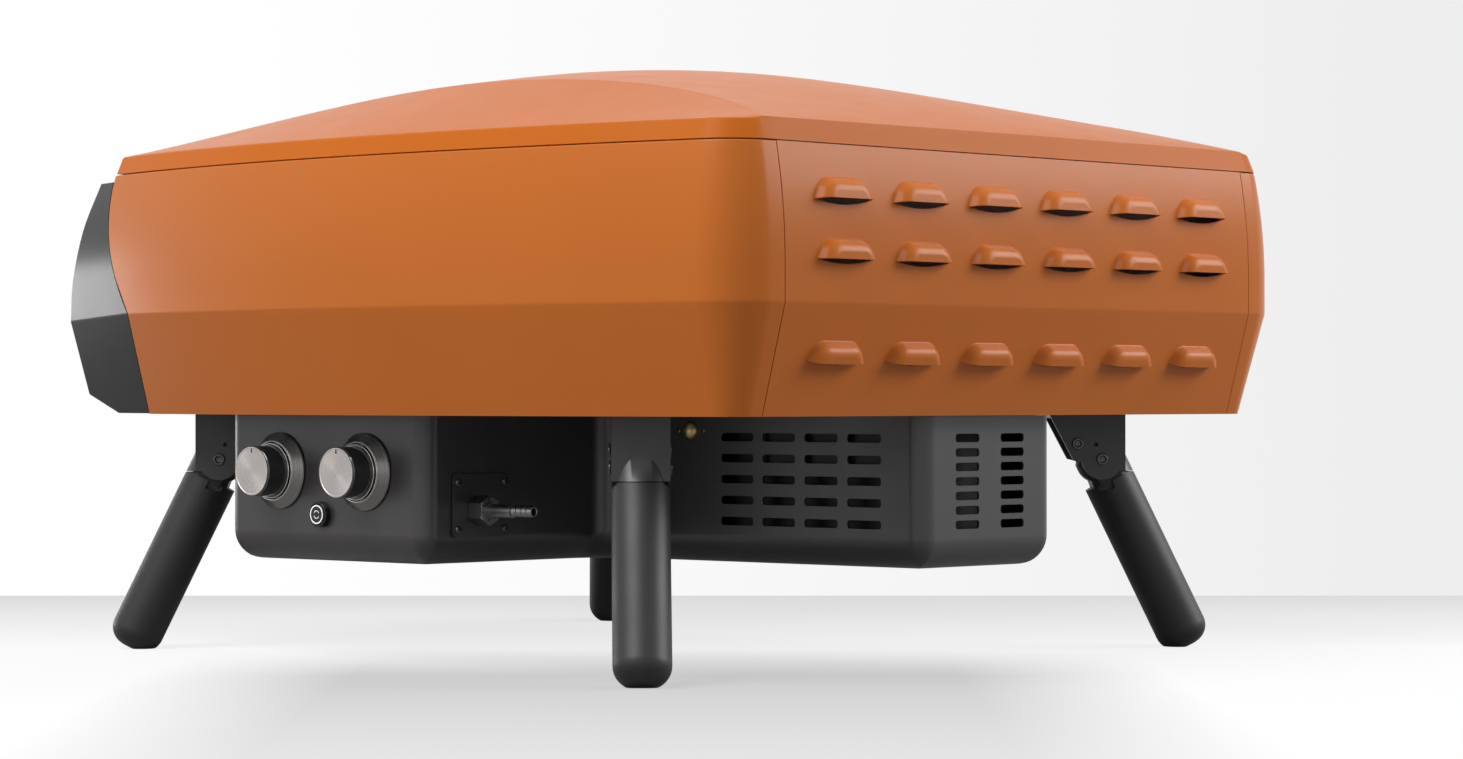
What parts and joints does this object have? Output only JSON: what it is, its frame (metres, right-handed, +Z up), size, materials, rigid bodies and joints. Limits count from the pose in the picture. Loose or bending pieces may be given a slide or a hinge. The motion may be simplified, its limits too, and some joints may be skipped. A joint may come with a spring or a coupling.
{
  "type": "portable pizza oven",
  "caption": "Low gas pizza oven with a domed lid, louvred rear, wide front mouth, turning stone, side knobs and splayed folding legs.",
  "frame": {"origin": "on the ground, in the middle of the oven's overall length and width", "axes": "+Z up, +Y towards the louvred rear panel, +X towards the side with the knobs"},
  "size_m": [0.6408, 0.7202, 0.4183],
  "materials": {
    "orange_enamel": "satin orange enamel on steel sheet",
    "charcoal_enamel": "satin charcoal enamel",
    "black_enamel": "satin black enamel",
    "leg_enamel": "cast aluminium with a satin black powder coat",
    "galvanised_steel": "galvanised",
    "stainless_steel": "rolled stainless steel",
    "brushed_steel": "spun-brushed face",
    "dark_chrome": "dark chrome",
    "dark_steel": "blackened",
    "brass": "machined",
    "ceramic_fibre": "matt fibre",
    "cordierite": "matt",
    "white_ceramic": "matt",
    "black_plastic": "fine grain"
  },
  "bodies": {
    "oven": {"lid_shell": "orange_enamel", "side_shell_right": "orange_enamel", "side_shell_left": "orange_enamel", "rear_panel": "orange_enamel", "front_bezel": "charcoal_enamel", "base_pan": "galvanised_steel", "insulation_blanket": "ceramic_fibre", "chamber_liner": "stainless_steel", "chamber_floor": "stainless_steel", "mouth_frame": "stainless_steel", "shaft_bearing": "brass", "gear_motor": "galvanised_steel", "motor_bracket": "galvanised_steel", "main_burner": "stainless_steel", "main_mixer_tube": "stainless_steel", "booster_burner": "stainless_steel", "booster_mixer_tube": "stainless_steel", "flame_shield": "stainless_steel", "main_igniter": "white_ceramic", "booster_igniter": "white_ceramic", "spark_module": "black_plastic", "gas_manifold": "galvanised_steel", "main_valve": "brass", "booster_valve": "brass", "main_knob_bezel": "dark_chrome", "booster_knob_bezel": "dark_chrome", "switch_body": "black_plastic", "inlet_plate": "black_enamel", "inlet_nut": "dark_steel", "hose_barb": "dark_steel", "brass_port": "brass", "control_housing": "black_enamel", "battery_holder": "black_plastic", "battery_cover": "black_plastic", "leg_bracket_rear_right": "leg_enamel", "pivot_pin_rear_right": "dark_steel", "stop_pin_rear_right": "dark_steel", "leg_bracket_rear_left": "leg_enamel", "pivot_pin_rear_left": "dark_steel", "stop_pin_rear_left": "dark_steel", "leg_bracket_front_right": "leg_enamel", "pivot_pin_front_right": "dark_steel", "stop_pin_front_right": "dark_steel", "leg_bracket_front_left": "leg_enamel", "pivot_pin_front_left": "dark_steel", "stop_pin_front_left": "dark_steel"},
    "turntable": {"pizza_stone": "cordierite", "stone_carrier": "stainless_steel", "turntable_shaft": "stainless_steel", "drive_coupling": "brass"},
    "main_rotor": {"main_valve_rotor": "brass"},
    "main_knob_body": {"main_knob": "brushed_steel"},
    "booster_rotor": {"booster_valve_rotor": "brass"},
    "booster_knob_body": {"booster_knob": "brushed_steel"},
    "switch_cap": {"switch_button": "black_plastic"},
    "leg_body_rear_right": {"leg_rear_right": "leg_enamel"},
    "leg_body_rear_left": {"leg_rear_left": "leg_enamel"},
    "leg_body_front_right": {"leg_front_right": "leg_enamel"},
    "leg_body_front_left": {"leg_front_left": "leg_enamel"}
  },
  "joints": [
    {"name": "stone_spin", "type": "hinge", "parent": "oven", "child": "turntable", "pos_m": [0, 0.00213, 0.2], "axis": [0, 0, 1], "continuous": true},
    {"name": "main_valve_turn", "type": "hinge", "parent": "oven", "child": "main_rotor", "pos_m": [0.2466, -0.04037, 0.1317], "axis": [1, 0, 0], "range_deg": [0, 180]},
    {"name": "main_knob_push", "type": "slide", "parent": "main_rotor", "child": "main_knob_body", "axis": [-1, 0, 0], "range_m": [0, 0.003], "stiffness_N_per_m": 800, "springref_m": -0.001},
    {"name": "booster_valve_turn", "type": "hinge", "parent": "oven", "child": "booster_rotor", "pos_m": [0.2466, -0.12857, 0.1317], "axis": [1, 0, 0], "range_deg": [0, 180]},
    {"name": "booster_knob_push", "type": "slide", "parent": "booster_rotor", "child": "booster_knob_body", "axis": [-1, 0, 0], "range_m": [0, 0.003], "stiffness_N_per_m": 800, "springref_m": -0.001},
    {"name": "switch_push", "type": "slide", "parent": "oven", "child": "switch_cap", "axis": [-1, 0, 0], "range_m": [0, 0.0018], "stiffness_N_per_m": 600, "springref_m": -0.001},
    {"name": "leg_fold_rear_right", "type": "hinge", "parent": "oven", "child": "leg_body_rear_right", "pos_m": [0.24338, 0.22051, 0.138], "axis": [-0.7071, 0.7071, 0], "range_deg": [0, 95]},
    {"name": "leg_fold_rear_left", "type": "hinge", "parent": "oven", "child": "leg_body_rear_left", "pos_m": [-0.24338, 0.22051, 0.138], "axis": [-0.7071, -0.7071, 0], "range_deg": [0, 95]},
    {"name": "leg_fold_front_right", "type": "hinge", "parent": "oven", "child": "leg_body_front_right", "pos_m": [0.20568, -0.24075, 0.138], "axis": [0.7071, 0.7071, 0], "range_deg": [0, 95]},
    {"name": "leg_fold_front_left", "type": "hinge", "parent": "oven", "child": "leg_body_front_left", "pos_m": [-0.20568, -0.24075, 0.138], "axis": [0.7071, -0.7071, 0], "range_deg": [0, 95]}
  ]
}
